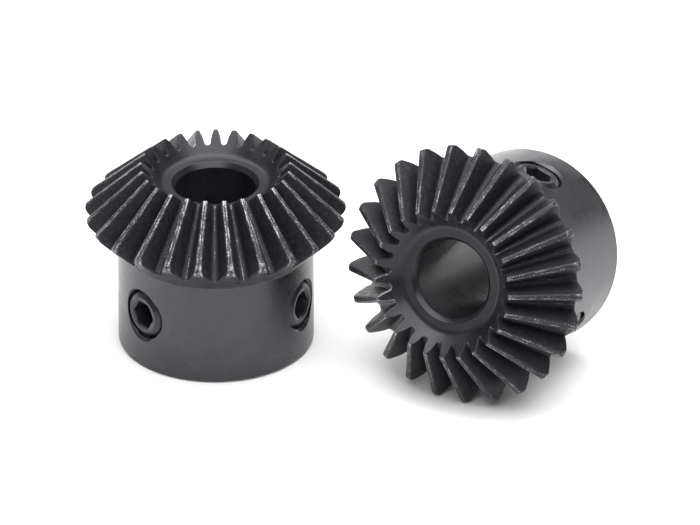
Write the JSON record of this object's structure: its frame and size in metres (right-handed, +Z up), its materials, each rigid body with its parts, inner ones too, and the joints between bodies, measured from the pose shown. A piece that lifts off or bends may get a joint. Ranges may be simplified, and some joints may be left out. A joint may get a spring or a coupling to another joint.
{
  "type": "bevel gear pair",
  "caption": "Pair of equal straight-tooth bevel gears for a right-angle drive, black steel, each with a plain hub, a round bore and two socket set screws.",
  "frame": {"origin": "middle of the bounding box, on the surface that both gears rest on", "axes": "+Z up; gear a stands with its axis along +Z; gear b lies with its toothed face towards -Y, tipped up 13.8 degrees, its axis in a plane parallel to YZ"},
  "size_m": [0.0532, 0.0322, 0.0256],
  "materials": {
    "gear_steel": "black oxide, satin, with bare worn tooth edges",
    "screw_steel": "black oxide, satin"
  },
  "bodies": {
    "gear_a": {"miter_gear_a": "gear_steel"},
    "screw_a1": {"set_screw_a1": "screw_steel"},
    "screw_a2": {"set_screw_a2": "screw_steel"},
    "gear_b": {"miter_gear_b": "gear_steel"},
    "screw_b1": {"set_screw_b1": "screw_steel"},
    "screw_b2": {"set_screw_b2": "screw_steel"}
  },
  "joints": [
    {"name": "gear_b_spin", "type": "hinge", "parent": "gear_a", "child": "gear_b", "pos_m": [0.01339, 0.01387, 0.00943], "axis": [0, -0.9713, 0.238], "continuous": true},
    {"name": "screw_a1_drive", "type": "slide", "parent": "gear_a", "child": "screw_a1", "axis": [0.9992, 0.0401, 0], "range_m": [-0.0008, 0.0014]},
    {"name": "screw_a2_drive", "type": "slide", "parent": "gear_a", "child": "screw_a2", "axis": [-0.3371, -0.9415, 0], "range_m": [-0.0008, 0.0014]},
    {"name": "screw_b1_drive", "type": "slide", "parent": "gear_b", "child": "screw_b1", "axis": [0.2723, 0.229, 0.9346], "range_m": [-0.0008, 0.0014]},
    {"name": "screw_b2_drive", "type": "slide", "parent": "gear_b", "child": "screw_b2", "axis": [0.7902, -0.1458, -0.5953], "range_m": [-0.0008, 0.0014]}
  ]
}
